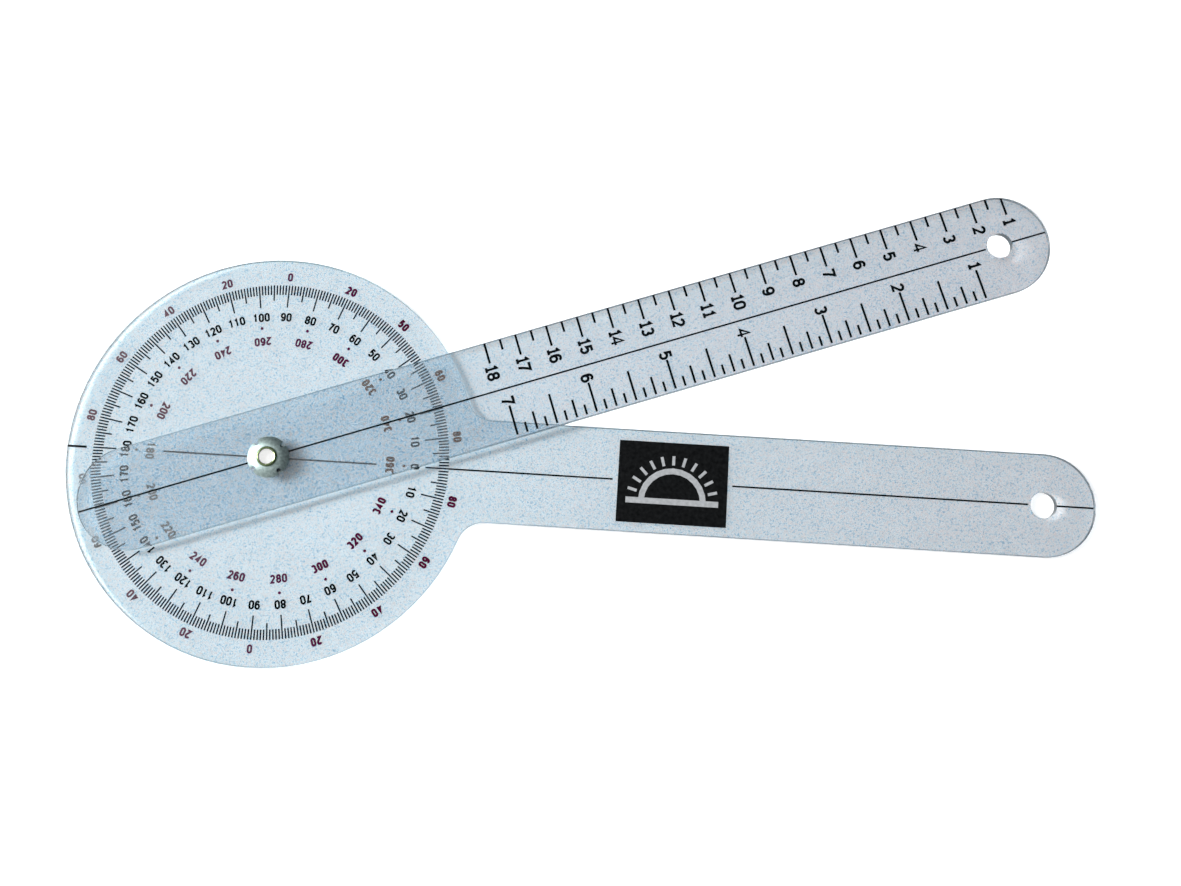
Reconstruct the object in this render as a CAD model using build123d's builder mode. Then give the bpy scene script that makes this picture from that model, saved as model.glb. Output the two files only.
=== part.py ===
"""Angle finder with two arms and a full-circle dial, in millimetres.

One plate carries the dial and the fixed arm. A second arm lies on it and turns all the way
round on a hollow rivet, held down by a domed, notched washer. The origin is on the pivot
axis at the dial plate's back face, +X runs out along the fixed arm and +Z points from the
dial towards the swing arm. The marks are stamped grooves, which are filled with ink.
"""
import os
from math import cos, radians, sin, sqrt

from build123d import *

os.makedirs("parts", exist_ok=True)

# Plates
PLATE_THICKNESS = 2.0
DIAL_RADIUS = 63.5
ARM_WIDTH = 31.75
ARM_REACH = 253.5          # pivot axis to the tip of either arm
TAIL_REACH = 60.0          # pivot axis to the swing arm's short end
NECK_FILLET = 8.0          # where the round dial runs into the fixed arm
EDGE_BREAK = 0.25          # chamfer on the plates' outer edges
HANG_HOLE_DIAMETER = 8.0
HANG_HOLE_INSET = 16.0     # arm tip to the hole's centre
REST_ANGLE = 20.0          # swing arm's angle from the fixed arm, in degrees

# Pivot
SHANK_DIAMETER = 5.2
RIVET_WALL = 0.4
HEAD_DIAMETER = 10.0
HEAD_THICKNESS = 0.7
HEAD_EDGE_BREAK = 0.35
ROLL_DIAMETER = 6.2        # outside of the rolled-over end
ROLL_BANDS = 6             # cones that make up the roll's round crown
WASHER_DIAMETER = 12.7
WASHER_THICKNESS = 0.4
WASHER_RISE = 1.0          # how far the dome lifts the washer's bore above its rim
WASHER_BANDS = 3           # cones that make up the dome, each flatter than the one outside it
NOTCH_COUNT = 4
NOTCH_WIDTH = 1.4
NOTCH_DEPTH = 1.5
NOTCH_ANGLE = 44.0         # first notch, from +X, in degrees

# Clearances
RUNNING_CLEARANCE = 0.05   # radial, between the rivet's shank and what it passes through
PLATE_GAP = 0.1            # between the dial plate and the swing arm
WASHER_GAP = 0.05          # between the swing arm and the washer's rim

# Stamped marks
MARK_DEPTH = 0.1
HUB_MARK_STOP = 5.0        # centre lines end here, under the washer
LINE_WIDTH = 0.42
HOLE_MARK_STOP = 0.7       # bare plastic between a centre line and a hang hole
TIP_MARK_STOP = 0.9        # bare plastic between a centre line and a plate's end
RING_RADIUS = 55.2         # outer end of every degree mark
DEGREE_WIDTH = 0.42
TEN_DEGREE_COUNT = 36      # marks with a number, around the dial
TEN_DEGREE_LENGTH = 7.2
FIVE_DEGREE_LENGTH = 5.0
ONE_DEGREE_LENGTH = 3.1
BASE_LINE_STOP = 33.0      # base line's end beside the innermost numbers
PANEL_START = 105.7        # the base line is left out under the printed panel
PANEL_END = 142.4
RIM_LINE_LENGTH = 6.0      # bold line at 180 degrees, from the rim inwards
RIM_LINE_WIDTH = 0.6
RULER_ZERO_INSET = 0.5     # arm tip to the zero of both rulers
RULER_MARK_WIDTH = 0.6
CENTIMETRE = 10.0
CENTIMETRE_COUNT = 18
CENTIMETRE_LENGTH = 6.6
HALF_CENTIMETRE_LENGTH = 3.4
CENTIMETRE_EDGE = 0.3      # plate edge to the ruler's marks
TIP_MARK_EDGE = 0.6        # round tip's outline to the marks beside it
INCH = 25.4
INCH_COUNT = 7
INCH_PARTS = 8
INCH_LENGTH = 9.5
QUARTER_INCH_LENGTH = 5.7
EIGHTH_INCH_LENGTH = 3.2
INCH_EDGE = 0.9

# Sizes that follow from the ones above
arm_half = ARM_WIDTH / 2
dial_top = PLATE_THICKNESS
arm_bottom = dial_top + PLATE_GAP
arm_top = arm_bottom + PLATE_THICKNESS
shank_radius = SHANK_DIAMETER / 2
bore_radius = shank_radius - RIVET_WALL
pivot_hole_radius = shank_radius + RUNNING_CLEARANCE
hang_hole_radius = HANG_HOLE_DIAMETER / 2
hang_hole_x = ARM_REACH - HANG_HOLE_INSET
tip_centre_x = ARM_REACH - arm_half
rim_height = arm_top + WASHER_GAP
washer_bore_height = rim_height + WASHER_RISE
roll_seat = washer_bore_height + WASHER_THICKNESS
roll_radius = (ROLL_DIAMETER / 2 - bore_radius) / 2
roll_height = roll_seat + roll_radius
ruler_zero_x = ARM_REACH - RULER_ZERO_INSET
washer_radius = WASHER_DIAMETER / 2
dome_width = washer_radius - pivot_hole_radius
band_radii = [washer_radius - dome_width * band / WASHER_BANDS for band in range(WASHER_BANDS + 1)]

dial_plane = Plane.XY
dial_face = Plane.XY.offset(dial_top)
arm_plane = Plane.XY.offset(arm_bottom).rotated((0, 0, REST_ANGLE))
arm_face = Plane.XY.offset(arm_top).rotated((0, 0, REST_ANGLE))


def strip(start, end, width):
    """A straight mark along X, from one place to another."""
    with Locations(((start + end) / 2, 0)):
        Rectangle(end - start, width)


def ruler_mark(distance, edge_y, length):
    """A mark across the arm at a distance from the ruler's zero, from edge_y towards the centre.

    Beside the arm's round tip, it starts where the outline comes in instead.
    """
    side = 1 if edge_y > 0 else -1
    mark_x = ruler_zero_x - distance
    start = abs(edge_y)
    end = start - length
    into_tip = mark_x + RULER_MARK_WIDTH / 2 - tip_centre_x
    if into_tip > 0:
        start = min(start, sqrt(arm_half**2 - into_tip**2) - TIP_MARK_EDGE)
    with Locations((mark_x, side * (start + end) / 2)):
        Rectangle(RULER_MARK_WIDTH, start - end)


def dome_rise(radius):
    """How far the washer's underside stands above its rim: a dome that is level at the bore."""
    return WASHER_RISE * (1 - ((radius - pivot_hole_radius) / dome_width) ** 2)


def roll_point(angle):
    """A point on the roll's round crown, in degrees from its outside."""
    across = roll_radius * cos(radians(angle))
    return bore_radius + roll_radius + across, roll_height + roll_radius * sin(radians(angle))


def degree_marks(first, length):
    """One radial mark in every ten degrees, with its outer end on the ring's radius."""
    with PolarLocations(RING_RADIUS - length / 2, TEN_DEGREE_COUNT, start_angle=first):
        Rectangle(length, DEGREE_WIDTH)


# Dial plate: the round dial and the fixed arm in one piece
with BuildPart() as dial_plate:
    with BuildSketch(dial_plane):
        Circle(DIAL_RADIUS)
        with Locations((tip_centre_x / 2, 0)):
            SlotCenterToCenter(tip_centre_x, ARM_WIDTH)
        corner_x = sqrt(DIAL_RADIUS**2 - arm_half**2)
        corners = vertices().filter_by(lambda v: abs(v.X - corner_x) < 0.01)
        fillet(corners, NECK_FILLET)
    extrude(amount=PLATE_THICKNESS)
    outline = edges().filter_by(Plane.XY)
    chamfer(outline, EDGE_BREAK)
    with Locations((0, 0)):
        Hole(pivot_hole_radius)
    with Locations((hang_hole_x, 0)):
        Hole(hang_hole_radius)
    with BuildSketch(dial_face):
        for degree in range(10):
            lengths = {0: TEN_DEGREE_LENGTH, 5: FIVE_DEGREE_LENGTH}
            degree_marks(degree, lengths.get(degree, ONE_DEGREE_LENGTH))
        strip(-BASE_LINE_STOP, -HUB_MARK_STOP, LINE_WIDTH)
        strip(HUB_MARK_STOP, BASE_LINE_STOP, LINE_WIDTH)
        strip(RING_RADIUS - TEN_DEGREE_LENGTH, PANEL_START, LINE_WIDTH)
        strip(PANEL_END, hang_hole_x - hang_hole_radius - HOLE_MARK_STOP, LINE_WIDTH)
        strip(hang_hole_x, ARM_REACH - TIP_MARK_STOP, LINE_WIDTH)
        strip(-DIAL_RADIUS, RIM_LINE_LENGTH + EDGE_BREAK - DIAL_RADIUS, RIM_LINE_WIDTH)
    extrude(amount=-MARK_DEPTH, mode=Mode.SUBTRACT)

# Swing arm: a plain strip with two rulers, both counted from its tip
with BuildPart() as swing_arm:
    with BuildSketch(arm_plane):
        with Locations(((ARM_REACH - TAIL_REACH) / 2, 0)):
            SlotOverall(ARM_REACH + TAIL_REACH, ARM_WIDTH)
    extrude(amount=PLATE_THICKNESS)
    outline = edges().filter_by(Plane.XY)
    chamfer(outline, EDGE_BREAK)
    with Locations(arm_face):
        Hole(pivot_hole_radius)
        with Locations((hang_hole_x, 0)):
            Hole(hang_hole_radius)
    with BuildSketch(arm_face):
        strip(-TAIL_REACH, -HUB_MARK_STOP, LINE_WIDTH)
        strip(HUB_MARK_STOP, hang_hole_x - hang_hole_radius - HOLE_MARK_STOP, LINE_WIDTH)
        strip(hang_hole_x, ARM_REACH - TIP_MARK_STOP, LINE_WIDTH)
        centimetre_y = arm_half - CENTIMETRE_EDGE
        for centimetre in range(1, CENTIMETRE_COUNT + 1):
            ruler_mark(centimetre * CENTIMETRE, centimetre_y, CENTIMETRE_LENGTH)
        for centimetre in range(1, CENTIMETRE_COUNT):
            ruler_mark((centimetre + 0.5) * CENTIMETRE, centimetre_y, HALF_CENTIMETRE_LENGTH)
        inch_y = INCH_EDGE - arm_half
        for eighth in range(INCH_PARTS, INCH_PARTS * INCH_COUNT + 1):
            length = EIGHTH_INCH_LENGTH if eighth % 2 else QUARTER_INCH_LENGTH
            if eighth % 4 == 0:
                length = INCH_LENGTH
            ruler_mark(eighth * INCH / INCH_PARTS, inch_y, length)
    extrude(amount=-MARK_DEPTH, mode=Mode.SUBTRACT)

# Hollow rivet: a flat head behind the dial, a tube through both plates, a rolled end on top
with BuildPart() as pivot_rivet:
    with BuildSketch(Plane.XZ):
        with BuildLine():
            head_radius = HEAD_DIAMETER / 2
            crown = [roll_point(180 * band / ROLL_BANDS) for band in range(ROLL_BANDS + 1)]
            Polyline(
                (bore_radius, -HEAD_THICKNESS),
                (head_radius - HEAD_EDGE_BREAK, -HEAD_THICKNESS),
                (head_radius, HEAD_EDGE_BREAK - HEAD_THICKNESS),
                (head_radius, 0),
                (shank_radius, 0),
                (shank_radius, roll_seat),
                (ROLL_DIAMETER / 2, roll_seat),
                *crown,
                close=True,
            )
        make_face()
    revolve(axis=Axis.Z)

# Spring washer: a shallow dome with round-ended notches in its rim
with BuildPart() as spring_washer:
    with BuildSketch(Plane.XZ):
        with BuildLine():
            underside = [(radius, rim_height + dome_rise(radius)) for radius in band_radii]
            top = [(radius, height + WASHER_THICKNESS) for radius, height in reversed(underside)]
            Polyline(*underside, *top, close=True)
        make_face()
    revolve(axis=Axis.Z)
    notch_end = washer_radius - NOTCH_DEPTH + NOTCH_WIDTH / 2
    with BuildSketch(Plane.XY.offset(rim_height)):
        with PolarLocations(notch_end, NOTCH_COUNT, start_angle=NOTCH_ANGLE):
            Circle(NOTCH_WIDTH / 2)
        with PolarLocations(notch_end + NOTCH_DEPTH / 2, NOTCH_COUNT, start_angle=NOTCH_ANGLE):
            Rectangle(NOTCH_DEPTH, NOTCH_WIDTH)
    extrude(amount=WASHER_RISE + WASHER_THICKNESS, mode=Mode.SUBTRACT)

dial_plate.part.label = "dial_plate"
export_step(dial_plate.part, "parts/dial_plate.step")
swing_arm.part.label = "swing_arm"
export_step(swing_arm.part, "parts/swing_arm.step")
pivot_rivet.part.label = "pivot_rivet"
export_step(pivot_rivet.part, "parts/pivot_rivet.step")
spring_washer.part.label = "spring_washer"
export_step(spring_washer.part, "parts/spring_washer.step")
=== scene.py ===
"""Looks of the angle finder: clear matte plastic, inked marks and numbers, nickel, light and camera.

Sizes are in millimetres, as on a drawing, and MM turns them into metres. The dial's plane has
its origin on the pivot axis with X along the fixed arm, and the swing arm's plane is the same
one turned by its rest angle.
"""

from math import cos, pi, radians, sin, sqrt

import bmesh
import bpy
from mathutils import Matrix, Vector


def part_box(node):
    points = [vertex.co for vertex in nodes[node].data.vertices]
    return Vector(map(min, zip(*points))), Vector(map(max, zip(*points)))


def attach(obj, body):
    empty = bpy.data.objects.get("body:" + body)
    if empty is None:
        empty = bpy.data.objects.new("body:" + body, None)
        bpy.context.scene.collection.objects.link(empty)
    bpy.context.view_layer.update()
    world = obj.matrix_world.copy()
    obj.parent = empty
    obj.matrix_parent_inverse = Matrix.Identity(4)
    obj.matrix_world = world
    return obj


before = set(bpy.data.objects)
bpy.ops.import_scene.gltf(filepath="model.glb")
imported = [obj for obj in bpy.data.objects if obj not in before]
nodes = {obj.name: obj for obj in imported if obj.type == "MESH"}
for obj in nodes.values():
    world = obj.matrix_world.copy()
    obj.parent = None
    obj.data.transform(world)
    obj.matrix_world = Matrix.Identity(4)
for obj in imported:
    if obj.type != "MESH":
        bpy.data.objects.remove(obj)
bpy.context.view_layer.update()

MM = 0.001
DIAL_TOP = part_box("dial_plate")[1].z / MM
ARM_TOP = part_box("swing_arm")[1].z / MM
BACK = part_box("pivot_rivet")[0].z / MM
REST_ANGLE = 20.0

# Plates and the grooves stamped in them, as in the model's drawing
ARM_HALF = 15.875
ARM_REACH = 253.5
TAIL_REACH = 60.0
DIAL_RADIUS = 63.5
EDGE_BREAK = 0.25
MARK_DEPTH = 0.1
HUB_STOP = 5.0
LINE_WIDTH = 0.42
RING_RADIUS = 55.2
DEGREE_WIDTH = 0.42
TEN_DEGREES = 7.2
FIVE_DEGREES = 5.0
ONE_DEGREE = 3.1
BASE_LINE_STOP = 33.0
PANEL_GAP = (105.7, 142.4)
HOLE_STOPS = (232.8, 241.5)
TIP_STOP = 252.6
RIM_LINE = 6.0
RIM_LINE_WIDTH = 0.6
RULER_ZERO = 253.0
RULER_WIDTH = 0.6
CENTIMETRE_Y = 15.575
CENTIMETRE = 10.0
CENTIMETRES = 18
CENTIMETRE_LENGTH = 6.6
HALF_LENGTH = 3.4
ROUND_STOP = 0.3           # bare plastic between a mark and the tip's curve
INCH_Y = -14.975
INCH = 25.4
INCHES = 7
INCH_LENGTH = 9.5
QUARTER_LENGTH = 5.7
EIGHTH_LENGTH = 3.2

# Ink
SPREAD = 0.05              # ink past each side of its groove
TICK_SPREAD = 0.015        # the same, at the degree marks
END_GAP = 0.01             # ink to an edge of the plate
PROUD = 0.01               # ink above the plate's face
PRINT_SINK = 0.01          # printed numbers reach this far into the face
PRINT_PROUD = 0.02         # and this far above it
THIN_FOUR = 0.85           # the share of the stroke's width that keeps a ruler's 4 open
BEND_LIMIT = 2.0           # a stroke is at most this many times as wide at a sharp bend
WELD_REACH = 0.0001        # corners this near to each other are one corner

# Printed numbers and dots on the dial, from the pivot axis
BLACK_RADIUS = 44.85
OUTER_RADIUS = 57.9
INNER_RADIUS = 37.1
DOT_RADIUS = 41.4
DOT_DIAMETER = 0.95
DOT_CORNERS = 16
HEAVY_FROM = 12.0          # magenta numbers right of this X are printed heavier
MISPRINT_ANGLE = 50        # the number at this angle reads as below, where its row would have 40
MISPRINT = "50"

# Printed numbers on the rulers: how far they stand from the arm's middle line
ONE_DIGIT_Y = 6.5
TWO_DIGIT_Y = 5.95
INCH_NUMBER_Y = -4.0

# Printed panel on the fixed arm
PANEL_X = (107.3, 141.0)
PANEL_DROP = -0.3
PANEL_HALF = 12.6
BADGE_DROP = -6.0          # half-dial in the panel: its base line, from the arm's middle
BADGE_RADIUS = 9.5
BADGE_REACH = 14.2
BADGE_STROKE = 1.8
RAY_STEP = 15              # degrees between the half-dial's rays
ARC_STEP = 15.0            # degrees between the points of a curved stroke


# ---------------------------------------------------------------- flat ink shapes
def turned(angle, x=0.0, y=0.0):
    """Turns by an angle in degrees and then moves, in the plane."""
    return Matrix.Translation((x, y, 0)) @ Matrix.Rotation(radians(angle), 4, "Z")


def bar(start, end, y, width):
    """A straight mark along X, as a face's corners."""
    half = width / 2
    return [(start, y - half), (end, y - half), (end, y + half), (start, y + half)]


def disc(x, y, diameter, corners):
    """A round dot, as a face's corners."""
    around = [2 * pi * corner / corners for corner in range(corners)]
    return [(x + diameter / 2 * cos(a), y + diameter / 2 * sin(a)) for a in around]


def arc(x, y, across, up, start, end):
    """Points along part of an ellipse, between two angles in degrees."""
    steps = max(2, round(abs(end - start) / ARC_STEP))
    angles = [radians(start + (end - start) * step / steps) for step in range(steps + 1)]
    return [(x + across * cos(a), y + up * sin(a)) for a in angles]


def ribbon(path, width):
    """Pairs of points on both sides of a stroke's middle line, mitred at its bends."""
    points = [Vector(p) for p in path]
    last = len(points) - 1
    closed = (points[0] - points[last]).length < WELD_REACH
    pairs = []
    for i, point in enumerate(points):
        before = points[i - 1] if i > 0 else points[last - 1] if closed else None
        after = points[i + 1] if i < last else points[1] if closed else None
        back = (point - before).normalized() if before else (after - point).normalized()
        ahead = (after - point).normalized() if after else back
        along = (back + ahead).normalized()
        side = Vector((-along.y, along.x))
        reach = width / 2 / max(along.dot(ahead), 1 / BEND_LIMIT)
        pairs.append((point + side * reach, point - side * reach))
    return pairs


def digit_strokes(digit, a, t, footed):
    """The middle lines of one digit that is 2a wide and t high, standing on y=0.

    A footed digit is one of the rulers', whose 1 has a foot and whose 4 and 7 reach below the rest.
    """
    if digit == "0":
        return [arc(0, t - a, a, a, 0, 180) + arc(0, a, a, a, 180, 360) + [(a, t - a)]]
    if digit == "1":
        strokes = [[(-0.75 * a, 0.78 * t), (0.1 * a, t), (0.1 * a, 0)]]
        return strokes + [[(-0.8 * a, 0), (0.95 * a, 0)]] if footed else strokes
    if digit == "2":
        return [arc(0, 0.73 * t, a, 0.27 * t, 165, -25) + [(-a, 0), (a, 0)]]
    if digit == "3":
        top = arc(-0.05 * a, 0.745 * t, 0.92 * a, 0.255 * t, 150, -85)
        return [top, arc(-0.05 * a, 0.265 * t, a, 0.265 * t, 85, -150)]
    if digit == "4":
        if footed:
            cross = [(1.35 * a, 0.26 * t), (-1.3 * a, 0.26 * t)]
            return [cross + [(0.5 * a, 1.06 * t), (0.5 * a, -0.12 * t)]]
        return [[(a, 0.26 * t), (-a, 0.26 * t), (0.45 * a, t), (0.45 * a, 0)]]
    if digit == "5":
        top = [(0.85 * a, t), (-0.75 * a, t), (-0.85 * a, 0.55 * t)]
        return [top + arc(0, 0.32 * t, a, 0.32 * t, 125, -150)]
    if digit == "6":
        stem = arc(0, 0.62 * t, a, 0.38 * t, 35, 180)
        return [stem + [(-a, 0.31 * t)], arc(0, 0.31 * t, a, 0.31 * t, 0, 360)]
    if digit == "7":
        if footed:
            return [[(-a, 0.86 * t), (-a, t), (a, t), (0.1 * a, 0.4 * t), (-0.35 * a, -0.1 * t)]]
        return [[(-a, t), (a, t), (0.1 * a, 0.4 * t), (-0.3 * a, 0)]]
    if digit == "8":
        top = arc(0, 0.755 * t, 0.88 * a, 0.245 * t, -90, 270)
        return [top, arc(0, 0.265 * t, a, 0.265 * t, 90, 450)]
    turned_six = digit_strokes("6", a, t, footed)
    return [[(-x, t - y) for x, y in stroke] for stroke in turned_six]


class Ink:
    """Flat shapes gathered for one piece, which becomes a thin layer between two heights."""

    def __init__(self):
        self.sheet = bmesh.new()

    def face(self, corners, place=Matrix()):
        """One flat face, from its corners in millimetres."""
        points = [place @ Vector((x, y, 0)) for x, y in corners]
        self.sheet.faces.new([self.sheet.verts.new(p * MM) for p in points])

    def stroke(self, path, width, place=Matrix()):
        """A line of faces along a path."""
        pairs = ribbon(path, width)
        for (a, b), (d, c) in zip(pairs, pairs[1:]):
            self.face([a, b, c, d], place)

    def number(self, text, style, place=Matrix()):
        """A number centred on the place, with its top towards the place's Y."""
        half = (style["width"] - style["stroke"]) / 2
        tall = style["height"] - style["stroke"]
        for index, digit in enumerate(text):
            shift = (index - (len(text) - 1) / 2) * style["pitch"]
            spot = place @ Matrix.Translation((shift, -tall / 2, 0))
            width = style["stroke"] * (THIN_FOUR if digit == "4" and style["footed"] else 1)
            for path in digit_strokes(digit, half, tall, style["footed"]):
                self.stroke(path, width, spot)

    def piece(self, name, low, high, material, body, slot, turn=0.0):
        """Thickens the shapes into a piece that rides on a body.

        slot: not used.
        """
        bmesh.ops.remove_doubles(self.sheet, verts=self.sheet.verts, dist=WELD_REACH * MM)
        for face in self.sheet.faces:
            if face.normal.z < 0:
                face.normal_flip()
        flat = self.sheet.faces[:]
        grown = bmesh.ops.extrude_face_region(self.sheet, geom=flat, use_keep_orig=True)
        lifted = [v for v in grown["geom"] if isinstance(v, bmesh.types.BMVert)]
        bmesh.ops.translate(self.sheet, verts=lifted, vec=(0, 0, (high - low) * MM))
        bmesh.ops.recalc_face_normals(self.sheet, faces=self.sheet.faces)
        place = Matrix.Translation((0, 0, low * MM)) @ turned(turn)
        bmesh.ops.transform(self.sheet, matrix=place, verts=self.sheet.verts)
        mesh = bpy.data.meshes.new(name)
        self.sheet.to_mesh(mesh)
        self.sheet.free()
        ob = bpy.data.objects.new(name, mesh)
        bpy.context.scene.collection.objects.link(ob)
        mesh.materials.append(material)
        ob.visible_shadow = False
        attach(ob, body)


# ---------------------------------------------------------------- materials
# Noises that vary the looks, and where their values start and end
CLOUDS = {"per_mm": 0.25, "detail": 3.0, "roughness": 0.6}
GRAIN = {"per_mm": 1.7, "detail": 1.5, "roughness": 0.8}
PATCHES = {"per_mm": 0.9, "detail": 3.0, "roughness": 0.6}
WIDE_PATCHES = {"per_mm": 0.7, "detail": 3.0, "roughness": 0.6}
HAZE = {"per_mm": 1.4, "detail": 4.0, "roughness": 0.7}
SCRATCHES = {"per_mm": 6.0, "detail": 2.0, "roughness": 0.6}
NOISE_LOW = 0.3
NOISE_HIGH = 0.7

# Clear plastic
GRAIN_TONES = [(0.3, (0.22, 0.46, 0.66)), (0.47, (0.97, 0.98, 1.0)), (0.66, (1.0, 0.78, 0.72))]
GRAIN_HEIGHT = 0.008       # millimetres
PLASTIC_ROUGHNESS = (0.11, 0.15)
PLASTIC_CLEARNESS = 0.93
PLASTIC_IOR = 1.49
EDGE_STEEPNESS = 0.8       # where the normal's height is less than this is a cut edge or bevel
WALL_STEEPNESS = 0.3       # and less than this, a wall
# What tints it, with painted shade: a deeper, bluer band inside the left rim is painted shade for
# the light the rim bends away, and the plastic is less blue to the right. Places in millimetres
PLASTIC_TINT_AND_RIM_SHADE = [
    (-63.5, (0.945, 1.0, 1.0)),
    (-56, (0.9, 0.965, 0.97)),
    (-44, (0.945, 1.0, 1.0)),
    (60, (0.945, 1.0, 1.0)),
    (230, (1.0, 1.0, 0.99)),
]
# Cut edges: darker than the faces, partly from their own rough cut and partly painted shade for
# the dark line an edge shows; painted light makes them paler near the lamp at the left, painted
# shade darker to the right. Their colour from the left to the right, in millimetres
EDGE_TONE_AND_PAINTED_SHADE = [
    (-60, (0.80, 0.92, 0.96)),
    (-15, (0.48, 0.64, 0.70)),
    (50, (0.38, 0.52, 0.58)),
    (90, (0.14, 0.19, 0.22)),
]
# How lamps pass: through a face, in at a bevel, in at a wall, and out at either
FACE_TINT = (0.93, 0.955, 0.965, 1.0)
BEVEL_SHADE = (0.2, 0.6, 0.68, 1.0)
EDGE_GLEAM = (2.1, 2.05, 2.0, 1.0)
EDGE_SHADE = (0.0, 0.02, 0.04, 1.0)

# Ink
INK_GLOSS = 0.05
INK_HEIGHT = 0.004         # millimetres
INK_ROUGHNESS = (0.35, 0.55)
SHIFTING_INK_ROUGHNESS = (0.4, 0.6)
WORN_SHARE = (0.64, 0.64, 0.64)
WHITE = (1.0, 1.0, 1.0)
# The magenta numbers, paler and browner at the left and deeper magenta to the right, and where the arm
# covers them
MAGENTA_TONES = [
    (-48, (0.17, 0.095, 0.115)),
    (5, (0.10, 0.01, 0.06)),
    (35, (0.09, 0.0, 0.028)),
]
COVERED_TONES = [
    (-58, (0.28, 0.30, 0.32)),
    (-40, (0.17, 0.15, 0.13)),
    (30, (0.11, 0.03, 0.0)),
]

# Plated metal
SCRATCH_HEIGHT = 0.006     # millimetres
SMOOTHER = 0.06            # the most that its scratches take from its roughness
ROUGHER = 0.08             # and add to it
BORE_POLISH = 0.12         # what a bore takes from it
BORE_TONE = (0.95, 0.95, 0.94, 1.0)
BORE_EDGE = 2.35           # the rivet's bore with its rolled edge, a radius

SMOOTH_BELOW = 30.0        # the model's facets that meet at this angle or less are one curve


def new_material(name):
    """A material with its node tree and its one Principled shader."""
    material = bpy.data.materials.new(name)
    material.use_nodes = True
    tree = material.node_tree
    return material, tree, tree.nodes["Principled BSDF"]


def set_or_link(tree, socket, value):
    """Gives an input a number or a colour, or what another node makes."""
    if isinstance(value, bpy.types.NodeSocket):
        tree.links.new(value, socket)
    else:
        socket.default_value = value


def math_node(tree, operation, source, *others):
    """Arithmetic on a value. Its other terms are numbers or sockets."""
    node = tree.nodes.new("ShaderNodeMath")
    node.operation = operation
    for socket, value in zip(node.inputs, (source, *others)):
        set_or_link(tree, socket, value)
    return node.outputs[0]


def own_place(tree):
    """Where a point is in the object's own space."""
    return tree.nodes.new("ShaderNodeTexCoord").outputs["Object"]


def axis(tree, vector, name):
    """One axis of a vector."""
    node = tree.nodes.new("ShaderNodeSeparateXYZ")
    tree.links.new(vector, node.inputs[0])
    return node.outputs[name]


def within(tree, value, reach):
    """1 where a value, with either sign, is less than a number, else 0."""
    return math_node(tree, "LESS_THAN", math_node(tree, "ABSOLUTE", value), reach)


def noise(tree, per_mm, detail, roughness):
    """A noise in the object's own space, with so many features to a millimetre."""
    texture = tree.nodes.new("ShaderNodeTexNoise")
    texture.inputs["Scale"].default_value = per_mm / MM
    texture.inputs["Detail"].default_value = detail
    texture.inputs["Roughness"].default_value = roughness
    tree.links.new(own_place(tree), texture.inputs["Vector"])
    return texture.outputs["Fac"]


def ramp(tree, source, stops):
    """Colours spread over a value, from (position, colour) stops."""
    node = tree.nodes.new("ShaderNodeValToRGB")
    elements = node.color_ramp.elements
    while len(elements) < len(stops):
        elements.new(0.5)
    for element, (position, colour) in zip(elements, stops):
        element.position = position
        element.color = (*colour, 1.0)
    tree.links.new(source, node.inputs["Fac"])
    return node.outputs["Color"]


def two_tones(tree, source, dark, light):
    """A noise's value as a colour between two."""
    return ramp(tree, source, [(NOISE_LOW, dark), (NOISE_HIGH, light)])


def blend_colours(tree, share, one, other, how="MIX"):
    """Two colours mixed by a share, which is a number or a socket."""
    node = tree.nodes.new("ShaderNodeMix")
    node.data_type = "RGBA"
    node.blend_type = how
    for index, value in ((0, share), (6, one), (7, other)):
        set_or_link(tree, node.inputs[index], value)
    return node.outputs[2]


def multiplied(tree, one, other):
    """Two colours multiplied."""
    return blend_colours(tree, 1.0, one, other, "MULTIPLY")


def span(tree, source, low, high):
    """A noise's value spread between two numbers."""
    node = tree.nodes.new("ShaderNodeMapRange")
    node.inputs["From Min"].default_value = NOISE_LOW
    node.inputs["From Max"].default_value = NOISE_HIGH
    node.inputs["To Min"].default_value = low
    node.inputs["To Max"].default_value = high
    tree.links.new(source, node.inputs["Value"])
    return node.outputs["Result"]


def bump(tree, shader, source, height):
    """Raises the surface by a height in millimetres where the source is 1."""
    node = tree.nodes.new("ShaderNodeBump")
    node.inputs["Distance"].default_value = height * MM
    tree.links.new(source, node.inputs["Height"])
    tree.links.new(node.outputs["Normal"], shader.inputs["Normal"])


def mix_shaders(tree, share, one, other):
    """One shader where the share is 0 and the other where it is 1."""
    node = tree.nodes.new("ShaderNodeMixShader")
    tree.links.new(share, node.inputs["Fac"])
    tree.links.new(one.outputs[0], node.inputs[1])
    tree.links.new(other.outputs[0], node.inputs[2])
    return node.outputs[0]


def across(tree, start, end):
    """0 to 1 between two places in millimetres along the object's X."""
    share = tree.nodes.new("ShaderNodeMapRange")
    share.inputs["From Min"].default_value = start * MM
    share.inputs["From Max"].default_value = end * MM
    tree.links.new(axis(tree, own_place(tree), "X"), share.inputs["Value"])
    return share.outputs["Result"]


def tones_across(tree, tones):
    """Colours along the object's X, from (place in millimetres, colour) pairs."""
    start, end = tones[0][0], tones[-1][0]
    stops = [((x - start) / (end - start), tone) for x, tone in tones]
    return ramp(tree, across(tree, start, end), stops)


def under_arm(tree):
    """1 in the band of the dial that the swing arm covers at rest, else 0."""
    turn = tree.nodes.new("ShaderNodeVectorRotate")
    turn.rotation_type = "Z_AXIS"
    turn.inputs["Angle"].default_value = -radians(REST_ANGLE)
    tree.links.new(own_place(tree), turn.inputs["Vector"])
    return within(tree, axis(tree, turn.outputs[0], "Y"), ARM_HALF * MM)


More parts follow.
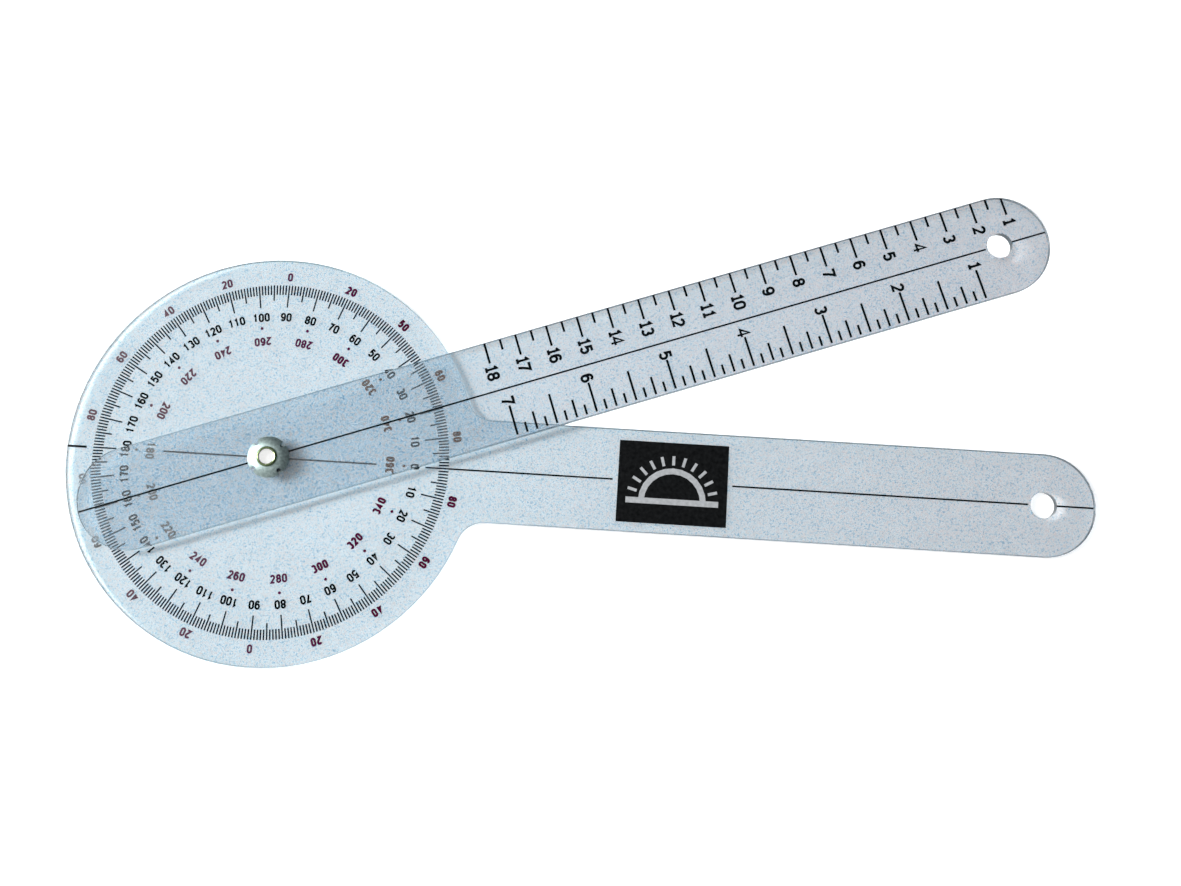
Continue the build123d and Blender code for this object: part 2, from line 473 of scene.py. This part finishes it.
def clear_plastic(name, pale, deep):
    """Clear plastic with clouds and a fine grain, a band of painted shade inside the left rim, and
    cut edges painted paler near the lamp and darker away from it.

    Lamps pass its faces tinted. What comes in at its walls gathers in a bright rim, and little
    leaves there.
    """
    material, tree, shader = new_material(name)
    clouds = two_tones(tree, noise(tree, **CLOUDS), deep, pale)
    # Painted shade: a deeper band inside the left rim, multiplied in with the plastic's tint along X
    clouds = multiplied(tree, clouds, tones_across(tree, PLASTIC_TINT_AND_RIM_SHADE))
    grain = noise(tree, **GRAIN)
    colour = multiplied(tree, clouds, ramp(tree, grain, GRAIN_TONES))
    surface = tree.nodes.new("ShaderNodeNewGeometry")
    upright = axis(tree, surface.outputs["Normal"], "Z")
    edge = within(tree, upright, EDGE_STEEPNESS)
    # Painted light and shade: cut edges paler near the lamp and darker away from it, over their own
    # rough cut and a painted dark edge line
    colour = blend_colours(tree, edge, colour, tones_across(tree, EDGE_TONE_AND_PAINTED_SHADE))
    tree.links.new(colour, shader.inputs["Base Color"])
    tree.links.new(span(tree, grain, *PLASTIC_ROUGHNESS), shader.inputs["Roughness"])
    shader.inputs["Transmission Weight"].default_value = PLASTIC_CLEARNESS
    shader.inputs["IOR"].default_value = PLASTIC_IOR
    bump(tree, shader, grain, GRAIN_HEIGHT)
    inwards = blend_colours(tree, within(tree, upright, WALL_STEEPNESS), BEVEL_SHADE, EDGE_GLEAM)
    side = blend_colours(tree, surface.outputs["Backfacing"], EDGE_SHADE, inwards)
    window = tree.nodes.new("ShaderNodeBsdfTransparent")
    tree.links.new(blend_colours(tree, edge, FACE_TINT, side), window.inputs["Color"])
    path = tree.nodes.new("ShaderNodeLightPath")
    mixed = mix_shaders(tree, path.outputs["Is Shadow Ray"], shader, window)
    tree.links.new(mixed, tree.nodes["Material Output"].inputs["Surface"])
    return material


def ink_surface(tree, shader, patches, colour, roughness):
    """Gives ink its colour and an uneven surface that hardly mirrors."""
    tree.links.new(colour, shader.inputs["Base Color"])
    tree.links.new(span(tree, patches, *roughness), shader.inputs["Roughness"])
    shader.inputs["Specular IOR Level"].default_value = INK_GLOSS
    bump(tree, shader, patches, INK_HEIGHT)


def print_ink(name, dark, light):
    """Ink whose colour drifts between two."""
    material, tree, shader = new_material(name)
    patches = noise(tree, **PATCHES)
    ink_surface(tree, shader, patches, two_tones(tree, patches, dark, light), INK_ROUGHNESS)
    return material


def faded_ink(name, tones, covered_tones):
    """Ink whose colour changes along X, and is another under the swing arm at rest."""
    material, tree, shader = new_material(name)
    patches = noise(tree, **WIDE_PATCHES)
    ink = blend_colours(
        tree, under_arm(tree), tones_across(tree, tones), tones_across(tree, covered_tones)
    )
    worn = multiplied(tree, ink, two_tones(tree, patches, WORN_SHARE, WHITE))
    ink_surface(tree, shader, patches, worn, SHIFTING_INK_ROUGHNESS)
    return material


def nickel(name, bright, dull, roughness, bore=None):
    """Plated metal with fine scratches and a slight haze, polished inside a bore's radius."""
    material, tree, shader = new_material(name)
    fine = noise(tree, **SCRATCHES)
    colour = two_tones(tree, noise(tree, **HAZE), dull, bright)
    gloss = span(tree, fine, roughness - SMOOTHER, roughness + ROUGHER)
    if bore:
        flat = tree.nodes.new("ShaderNodeVectorMath")
        flat.operation = "MULTIPLY"
        flat.inputs[1].default_value = (1.0, 1.0, 0.0)
        tree.links.new(own_place(tree), flat.inputs[0])
        reach = tree.nodes.new("ShaderNodeVectorMath")
        reach.operation = "LENGTH"
        tree.links.new(flat.outputs[0], reach.inputs[0])
        polished = within(tree, reach.outputs["Value"], bore * MM)
        colour = blend_colours(tree, polished, colour, BORE_TONE)
        gloss = math_node(tree, "MULTIPLY_ADD", polished, -BORE_POLISH, gloss)
    tree.links.new(colour, shader.inputs["Base Color"])
    tree.links.new(gloss, shader.inputs["Roughness"])
    shader.inputs["Metallic"].default_value = 1.0
    bump(tree, shader, fine, SCRATCH_HEIGHT)
    return material


def smooth_facets(ob):
    """Shades a node's curved faces smooth and keeps its corners sharp. Its mesh stays as it is."""
    weld = ob.modifiers.new("weld", "WELD")
    weld.merge_threshold = WELD_REACH * MM
    group = bpy.data.node_groups.get("smooth_curves")
    if group is None:
        group = bpy.data.node_groups.new("smooth_curves", "GeometryNodeTree")
        group.interface.new_socket("Mesh", in_out="INPUT", socket_type="NodeSocketGeometry")
        group.interface.new_socket("Mesh", in_out="OUTPUT", socket_type="NodeSocketGeometry")
        start = group.nodes.new("NodeGroupInput")
        angle = group.nodes.new("GeometryNodeInputMeshEdgeAngle")
        gentle = group.nodes.new("FunctionNodeCompare")
        gentle.operation = "LESS_EQUAL"
        gentle.inputs["B"].default_value = radians(SMOOTH_BELOW)
        edges = group.nodes.new("GeometryNodeSetShadeSmooth")
        edges.domain = "EDGE"
        faces = group.nodes.new("GeometryNodeSetShadeSmooth")
        faces.domain = "FACE"
        end = group.nodes.new("NodeGroupOutput")
        group.links.new(angle.outputs["Unsigned Angle"], gentle.inputs["A"])
        group.links.new(start.outputs[0], edges.inputs["Geometry"])
        group.links.new(gentle.outputs[0], edges.inputs["Shade Smooth"])
        group.links.new(edges.outputs[0], faces.inputs["Geometry"])
        group.links.new(faces.outputs[0], end.inputs[0])
    smooth = ob.modifiers.new("smooth_curves", "NODES")
    smooth.node_group = group


def dress(node, material):
    """Gives a node of the model its material and smooth curves."""
    mesh = nodes[node].data
    mesh.materials.clear()
    mesh.materials.append(material)
    smooth_facets(nodes[node])


dial_plastic = clear_plastic("dial_plastic", (0.757, 0.806, 0.833), (0.709, 0.766, 0.803))
arm_plastic = clear_plastic("arm_plastic", (0.763, 0.80, 0.832), (0.721, 0.77, 0.812))
black_ink = print_ink("black_ink", (0.0005, 0.001, 0.002), (0.004, 0.006, 0.008))
tick_ink = print_ink("tick_ink", (0.002, 0.006, 0.012), (0.012, 0.022, 0.03))
magenta_ink = faded_ink("magenta_ink", MAGENTA_TONES, COVERED_TONES)
panel_ink = print_ink("panel_ink", (0.004, 0.0045, 0.005), (0.014, 0.015, 0.016))
panel_light = print_ink("panel_light", (0.5, 0.52, 0.54), (0.68, 0.7, 0.72))
rivet_nickel = nickel("rivet_nickel", (0.36, 0.45, 0.24), (0.18, 0.25, 0.12), 0.16, BORE_EDGE)
washer_nickel = nickel("washer_nickel", (0.64, 0.78, 0.755), (0.27, 0.37, 0.355), 0.33)
dress("dial_plate", dial_plastic)
dress("swing_arm", arm_plastic)
dress("pivot_rivet", rivet_nickel)
dress("spring_washer", washer_nickel)

# ---------------------------------------------------------------- marks in the dial plate
# Sizes of the digits, in millimetres: the pitch is from the middle of one to the middle of the next
dial_digits = {"width": 1.68, "height": 2.8, "pitch": 1.82, "stroke": 0.60, "footed": False}
rim_digits = {"width": 1.62, "height": 2.7, "pitch": 1.8, "stroke": 0.60, "footed": False}
heavy_digits = {**rim_digits, "stroke": 0.70}
ruler_digits = {"width": 2.65, "height": 4.1, "pitch": 2.45, "stroke": 0.82, "footed": True}


def inked(top):
    """The heights between which ink fills a groove in a face."""
    return top - MARK_DEPTH, top + PROUD


def printed(top):
    """The heights of a film that is printed on a face."""
    return top - PRINT_SINK, top + PRINT_PROUD


def degree_length(degree):
    """Every tenth mark is long and every fifth is middling."""
    if degree % 10 == 0:
        return TEN_DEGREES
    return ONE_DEGREE if degree % 5 else FIVE_DEGREES


ticks = Ink()
for degree in range(360):
    mark = bar(RING_RADIUS - degree_length(degree), RING_RADIUS, 0, DEGREE_WIDTH + 2 * TICK_SPREAD)
    ticks.face(mark, turned(degree))
ticks.piece("degree_marks", *inked(DIAL_TOP), tick_ink, "dial", "dial_plastic")

line_width = LINE_WIDTH + 2 * SPREAD
past_hole = HOLE_STOPS[1] + END_GAP
base = Ink()
base.face(bar(-BASE_LINE_STOP, -HUB_STOP, 0, line_width))
base.face(bar(HUB_STOP, BASE_LINE_STOP, 0, line_width))
base.face(bar(RING_RADIUS, PANEL_GAP[0], 0, line_width))
base.face(bar(PANEL_GAP[1], HOLE_STOPS[0], 0, line_width))
base.face(bar(past_hole, TIP_STOP, 0, line_width))
rim_end = EDGE_BREAK - DIAL_RADIUS
base.face(bar(rim_end, rim_end + RIM_LINE, 0, RIM_LINE_WIDTH + 2 * SPREAD))
base.piece("base_line", *inked(DIAL_TOP), black_ink, "dial", "dial_plastic")

# The dial's numbers, up one side of the base line and then up the other
black = Ink()
outer = Ink()
inner = Ink()
dots = Ink()
for side in (1, -1):
    for value in range(0, 181, 10):
        if side < 0 and value in (0, 180):
            continue
        angle = side * value
        reach = Vector((cos(radians(angle)), sin(radians(angle))))
        outward = angle - 90
        inward = angle + 90
        black.number(str(value), dial_digits, turned(outward, *(reach * BLACK_RADIUS)))
        if value % 20 == 0:
            style = heavy_digits if reach.x * INNER_RADIUS > HEAVY_FROM else rim_digits
            inner.number(str(360 - value), style, turned(inward, *(reach * INNER_RADIUS)))
            dots.face(disc(*(reach * DOT_RADIUS), DOT_DIAMETER, DOT_CORNERS))
        else:
            style = heavy_digits if reach.x * OUTER_RADIUS > HEAVY_FROM else rim_digits
            shown = MISPRINT if angle == MISPRINT_ANGLE else str(abs(90 - value))
            outer.number(shown, style, turned(outward, *(reach * OUTER_RADIUS)))
black.piece("black_numbers", *printed(DIAL_TOP), black_ink, "dial", "dial_plastic")
outer.piece("outer_numbers", *printed(DIAL_TOP), magenta_ink, "dial", "dial_plastic")
inner.piece("inner_numbers", *printed(DIAL_TOP), magenta_ink, "dial", "dial_plastic")
dots.piece("number_dots", *printed(DIAL_TOP), magenta_ink, "dial", "dial_plastic")

panel = Ink()
panel.face(bar(*PANEL_X, PANEL_DROP, 2 * PANEL_HALF))
panel.piece("panel", *printed(DIAL_TOP), panel_ink, "dial", "dial_plastic")

badge = Ink()
badge_place = turned(0, sum(PANEL_X) / 2, BADGE_DROP)
badge.stroke(arc(0, 0, BADGE_RADIUS, BADGE_RADIUS, 0, 180), BADGE_STROKE, badge_place)
badge.face(bar(-BADGE_REACH, BADGE_REACH, 0, BADGE_STROKE), badge_place)
for angle in range(RAY_STEP, 180, RAY_STEP):
    ray = bar(BADGE_RADIUS + BADGE_STROKE, BADGE_REACH, 0, BADGE_STROKE / 2)
    badge.face(ray, badge_place @ turned(angle))
panel_top = printed(DIAL_TOP)[1]
badge.piece("panel_scale", panel_top, panel_top + PRINT_PROUD / 2, panel_light, "dial", "dial_plastic")

# ---------------------------------------------------------------- rulers on the swing arm
rulers = Ink()
rulers.face(bar(2 * EDGE_BREAK - TAIL_REACH, -HUB_STOP, 0, line_width))
rulers.face(bar(HUB_STOP, HOLE_STOPS[0], 0, line_width))
rulers.face(bar(past_hole, TIP_STOP, 0, line_width))


def ruler_mark(distance, edge, length):
    """A mark across the arm, from a ruler's edge, or the tip's curve, towards the centre line."""
    x = RULER_ZERO - distance
    half = RULER_WIDTH / 2 + SPREAD
    inwards = edge - length if edge > 0 else edge + length
    past_round = max(0, x + half - (ARM_REACH - ARM_HALF))
    edge = min(edge, sqrt(ARM_HALF**2 - past_round**2) - ROUND_STOP)
    rulers.face([(x - half, edge), (x + half, edge), (x + half, inwards), (x - half, inwards)])


for half_centimetre in range(2, 2 * CENTIMETRES + 1):
    length = HALF_LENGTH if half_centimetre % 2 else CENTIMETRE_LENGTH
    ruler_mark(half_centimetre * CENTIMETRE / 2, CENTIMETRE_Y, length)
for eighth in range(8, 8 * INCHES + 1):
    short = EIGHTH_LENGTH if eighth % 2 else QUARTER_LENGTH
    ruler_mark(eighth * INCH / 8, INCH_Y, short if eighth % 4 else INCH_LENGTH)
rulers.piece("ruler_marks", *inked(ARM_TOP), black_ink, "swing", "arm_plastic", REST_ANGLE)

numbers = Ink()
for centimetre in range(1, CENTIMETRES + 1):
    y = ONE_DIGIT_Y if centimetre < 10 else TWO_DIGIT_Y
    x = RULER_ZERO - CENTIMETRE * centimetre
    numbers.number(str(centimetre), ruler_digits, turned(-90, x, y))
for inch in range(1, INCHES + 1):
    x = RULER_ZERO - INCH * inch
    numbers.number(str(inch), ruler_digits, turned(-90, x, INCH_NUMBER_Y))
numbers.piece("ruler_numbers", *printed(ARM_TOP), black_ink, "swing", "arm_plastic", REST_ANGLE)

# ---------------------------------------------------------------- floor, light and camera
FLOOR_REACH = 3000.0
FLOOR_GAP = 0.05           # floor to the part, in millimetres
FLOOR_SIDES = 72
# The dent's slope, from the head: how far out, in millimetres, and the share of its depth
DENT_SLOPE = [(0.0, 1.0), (0.7, 0.6), (1.5, 0.2), (2.5, 0.0)]
FLOOR_TONE = 0.8
FLOOR_ROUGHNESS = 0.9
CAMERA_LIFT = 0.68         # what the floor adds to its own light, seen straight
MIRRORED_LIFT = 0.6        # the same, seen in metal
THROUGH_LIFT = 0.12        # the same, seen through plastic
SKY_STRENGTH = 0.6
SKY_SIDE = (-0.7, -0.12, 0.704)            # the direction in which the sky is brightest
SKY_SHADES = [(0.0, (0.10, 0.11, 0.12)), (0.5, (0.28, 0.30, 0.32)), (0.85, WHITE)]
LAMP_PLACE = Vector((-0.86, 0.14, 0.76))   # in metres, as are the next two
LAMP_AIM = Vector((0.06, 0.0, 0.0))
LAMP_SIZE = 0.45
LAMP_POWER = 12.0

# The plates lie flat on a soft floor, and the rivet's back head sinks into it.
dent_radius = (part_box("pivot_rivet")[1].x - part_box("pivot_rivet")[0].x) / MM / 2 + FLOOR_GAP
rings = [(dent_radius + out, share * BACK) for out, share in DENT_SLOPE] + [(FLOOR_REACH, 0)]
points = []
for reach, height in rings:
    for side in range(FLOOR_SIDES):
        points.append(turned(360 * side / FLOOR_SIDES) @ Vector((reach, 0, height - FLOOR_GAP)) * MM)
faces = [tuple(range(FLOOR_SIDES))]
for ring in range(len(rings) - 1):
    near = ring * FLOOR_SIDES
    far = near + FLOOR_SIDES
    for side in range(FLOOR_SIDES):
        after = (side + 1) % FLOOR_SIDES
        faces.append((near + side, far + side, far + after, near + after))
floor_mesh = bpy.data.meshes.new("floor")
floor_mesh.from_pydata(points, [], faces)
floor_mesh.shade_smooth()
floor = bpy.data.objects.new("floor", floor_mesh)
bpy.context.scene.collection.objects.link(floor)


def grey(value):
    """A colour with no hue."""
    return (value, value, value, 1.0)


material, tree, shader = new_material("floor_white")
shader.inputs["Base Color"].default_value = grey(FLOOR_TONE)
shader.inputs["Roughness"].default_value = FLOOR_ROUGHNESS
shader.inputs["Specular IOR Level"].default_value = 0.0
path = tree.nodes.new("ShaderNodeLightPath")
lift = blend_colours(tree, path.outputs["Is Glossy Ray"], grey(0.0), grey(MIRRORED_LIFT))
lift = blend_colours(tree, path.outputs["Is Transmission Ray"], lift, grey(THROUGH_LIFT))
lift = blend_colours(tree, path.outputs["Is Camera Ray"], lift, grey(CAMERA_LIFT))
tree.links.new(lift, shader.inputs["Emission Strength"])
shader.inputs["Emission Color"].default_value = grey(1.0)
floor_mesh.materials.append(material)

# The sky lights the part from one side and is plain white where the camera sees it.
world = bpy.data.worlds.new("studio")
bpy.context.scene.world = world
world.use_nodes = True
tree = world.node_tree
sky = tree.nodes["Background"]
sky.inputs["Strength"].default_value = SKY_STRENGTH
direction = tree.nodes.new("ShaderNodeTexCoord")
nearness = tree.nodes.new("ShaderNodeVectorMath")
nearness.operation = "DOT_PRODUCT"
nearness.inputs[1].default_value = SKY_SIDE
tree.links.new(direction.outputs["Generated"], nearness.inputs[0])
tree.links.new(ramp(tree, nearness.outputs["Value"], SKY_SHADES), sky.inputs["Color"])
white = tree.nodes.new("ShaderNodeBackground")
white.inputs["Color"].default_value = grey(1.0)
path = tree.nodes.new("ShaderNodeLightPath")
seen_sky = mix_shaders(tree, path.outputs["Is Camera Ray"], sky, white)
tree.links.new(seen_sky, tree.nodes["World Output"].inputs["Surface"])

lamp_data = bpy.data.lights.new("key", "AREA")
lamp_data.size = LAMP_SIZE
lamp_data.energy = LAMP_POWER
lamp = bpy.data.objects.new("key", lamp_data)
lamp.location = LAMP_PLACE
lamp.rotation_euler = (LAMP_AIM - LAMP_PLACE).to_track_quat("-Z", "Y").to_euler()
lamp.visible_transmission = False
bpy.context.scene.collection.objects.link(lamp)

# The camera that was fitted to the photograph: its frame and focal length are in pixels
FRAME_WIDTH = 1181
FOCAL_PIXELS = 1006.6
SENSOR_WIDTH = 36.0
CAMERA_PLACE = Vector((102.6, -35.55, 309.29)) * MM
CAMERA_AIM = Vector((98.22, 10.73, 2.0)) * MM
CAMERA_ROLL = -1.87        # degrees
NEAREST = 10.0 * MM        # nothing nearer to the camera is shown
camera_data = bpy.data.cameras.new("camera")
camera_data.sensor_width = SENSOR_WIDTH
camera_data.sensor_fit = "HORIZONTAL"
camera_data.lens = SENSOR_WIDTH * FOCAL_PIXELS / FRAME_WIDTH
camera_data.clip_start = NEAREST
camera = bpy.data.objects.new("camera", camera_data)
camera.location = CAMERA_PLACE
look = (CAMERA_AIM - CAMERA_PLACE).to_track_quat("-Z", "Y").to_matrix()
camera.rotation_euler = (look @ Matrix.Rotation(radians(CAMERA_ROLL), 3, "Z")).to_euler()
bpy.context.scene.collection.objects.link(camera)
bpy.context.scene.camera = camera
bpy.context.scene.view_settings.view_transform = "Standard"
